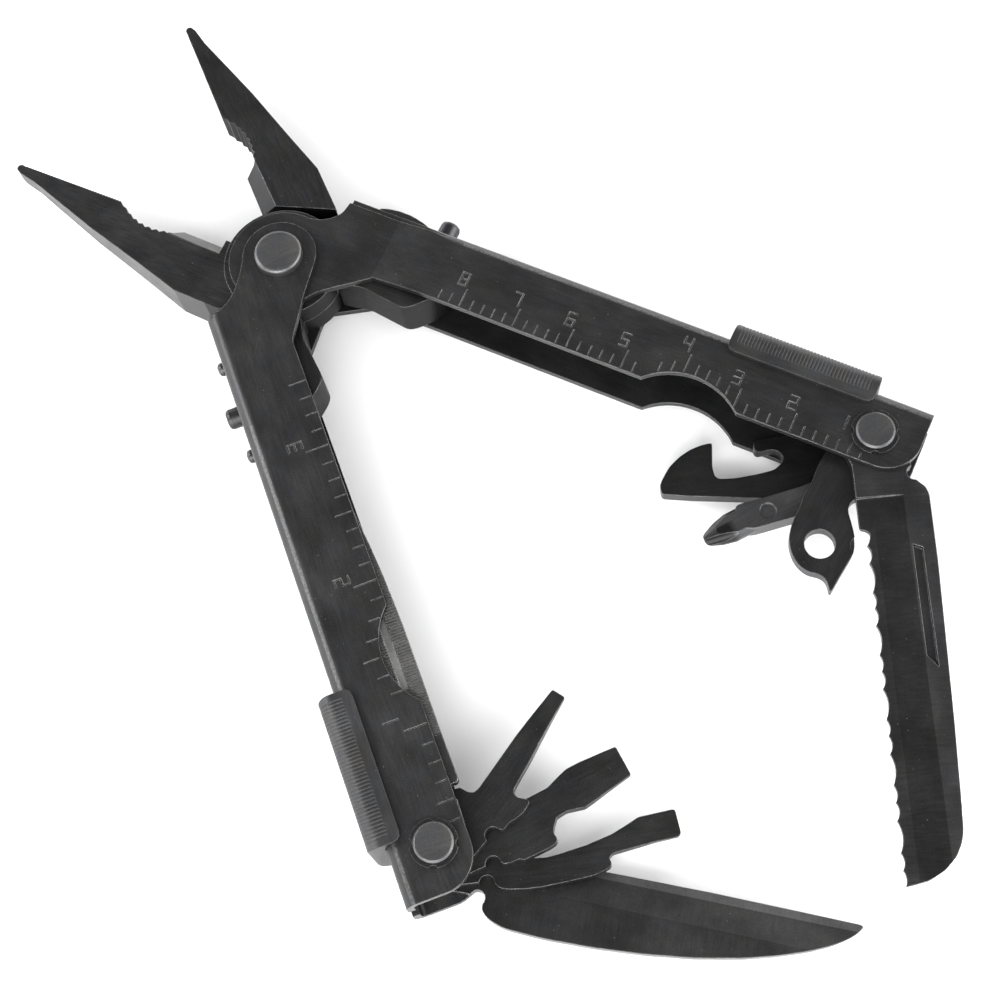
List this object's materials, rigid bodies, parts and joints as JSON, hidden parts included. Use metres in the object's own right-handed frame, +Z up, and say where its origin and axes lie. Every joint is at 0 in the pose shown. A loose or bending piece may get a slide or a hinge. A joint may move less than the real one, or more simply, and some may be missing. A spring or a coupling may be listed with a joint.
{
  "type": "folding multi tool",
  "caption": "Folding pocket multi tool with needle nose pliers, channel handles holding hinged blades, drivers, file and openers, sliding tool locks and release buttons.",
  "frame": {"origin": "axis of the pliers pivot, on the plane the tool lies on", "axes": "+Z up, along every hinge axis; +Y along the plan view away from the fanned tools; +X to the right, towards the end of the right handle"},
  "size_m": [0.1648, 0.1668, 0.017],
  "materials": {
    "handle_black": "folded stainless sheet, black oxide, satin, lightly worn edges",
    "jaw_black": "forged stainless, black oxide, bright worn cutting facets",
    "pin_steel": "ground steel, oiled",
    "rivet_grey": "grey turned steel with bright bevelled rims",
    "button_black": "black oxide, satin",
    "lock_black": "black oxide, finely ribbed",
    "tool_black": "hardened steel, black oxide, worn edges",
    "blade_black": "hardened steel, black oxide with a lighter grind"
  },
  "bodies": {
    "left_body": {"left_handle": "handle_black", "jaw_right": "jaw_black", "plier_pin": "pin_steel", "front_rivet": "rivet_grey", "back_rivet": "rivet_grey", "spring_studs_left": "button_black", "tool_pivot_left": "rivet_grey", "lock_washers_left": "rivet_grey"},
    "right_body": {"right_handle": "handle_black", "jaw_left": "jaw_black", "spring_studs_right": "button_black", "spring_clip_right": "button_black", "tool_pivot_right": "rivet_grey", "lock_washers_right": "rivet_grey"},
    "lock_left": {"tool_lock_left": "lock_black", "lock_bar_left": "lock_black"},
    "lock_right": {"tool_lock_right": "lock_black", "lock_bar_right": "lock_black"},
    "button_left": {"release_button_left": "button_black"},
    "button_right": {"release_button_right": "button_black"},
    "file": {"file": "tool_black"},
    "small_driver": {"small_driver": "tool_black"},
    "large_driver": {"large_driver": "tool_black"},
    "medium_driver": {"medium_driver": "tool_black"},
    "knife_blade": {"knife_blade": "blade_black"},
    "bottle_opener": {"bottle_opener": "tool_black"},
    "phillips_driver": {"phillips_driver": "tool_black"},
    "can_opener": {"can_opener": "tool_black"},
    "serrated_blade": {"serrated_blade": "blade_black"}
  },
  "joints": [
    {"name": "handle_pivot", "type": "hinge", "parent": "left_body", "child": "right_body", "pos_m": [0, 0, 0.0085], "axis": [0, 0, 1], "range_deg": [-29, 0]},
    {"name": "file_hinge", "type": "hinge", "parent": "left_body", "child": "file", "pos_m": [0.03306, -0.10125, 0.0085], "axis": [0, 0, -1], "range_deg": [0, 180]},
    {"name": "small_driver_hinge", "type": "hinge", "parent": "left_body", "child": "small_driver", "pos_m": [0.03306, -0.10125, 0.0085], "axis": [0, 0, -1], "range_deg": [-63.1, 121.9]},
    {"name": "large_driver_hinge", "type": "hinge", "parent": "left_body", "child": "large_driver", "pos_m": [0.03306, -0.10125, 0.0085], "axis": [0, 0, -1], "range_deg": [-89.8, 95.2]},
    {"name": "medium_driver_hinge", "type": "hinge", "parent": "left_body", "child": "medium_driver", "pos_m": [0.03306, -0.10125, 0.0085], "axis": [0, 0, -1], "range_deg": [-108.2, 76.8]},
    {"name": "knife_blade_hinge", "type": "hinge", "parent": "left_body", "child": "knife_blade", "pos_m": [0.03306, -0.10125, 0.0085], "axis": [0, 0, -1], "range_deg": [-124.4, 60.1]},
    {"name": "bottle_opener_hinge", "type": "hinge", "parent": "right_body", "child": "bottle_opener", "pos_m": [0.10143, -0.03254, 0.0085], "axis": [0, 0, 1], "range_deg": [-29.6, 147.4]},
    {"name": "phillips_driver_hinge", "type": "hinge", "parent": "right_body", "child": "phillips_driver", "pos_m": [0.10143, -0.03254, 0.0085], "axis": [0, 0, 1], "range_deg": [-51.7, 128.3]},
    {"name": "can_opener_hinge", "type": "hinge", "parent": "right_body", "child": "can_opener", "pos_m": [0.10143, -0.03254, 0.0085], "axis": [0, 0, 1], "range_deg": [-81, 94]},
    {"name": "serrated_blade_hinge", "type": "hinge", "parent": "right_body", "child": "serrated_blade", "pos_m": [0.10143, -0.03254, 0.0085], "axis": [0, 0, 1], "range_deg": [-118.2, 62.6]},
    {"name": "lock_left_slide", "type": "slide", "parent": "left_body", "child": "lock_left", "axis": [0.3827, -0.9239, 0], "range_m": [0, 0.005]},
    {"name": "lock_right_slide", "type": "slide", "parent": "right_body", "child": "lock_right", "axis": [0.9259, -0.3778, 0], "range_m": [0, 0.005]},
    {"name": "button_left_press", "type": "slide", "parent": "left_body", "child": "button_left", "axis": [0.9239, 0.3827, 0], "range_m": [0, 0.002], "stiffness_N_per_m": 400},
    {"name": "button_right_press", "type": "slide", "parent": "right_body", "child": "button_right", "axis": [-0.3778, -0.9259, 0], "range_m": [0, 0.002], "stiffness_N_per_m": 400}
  ]
}
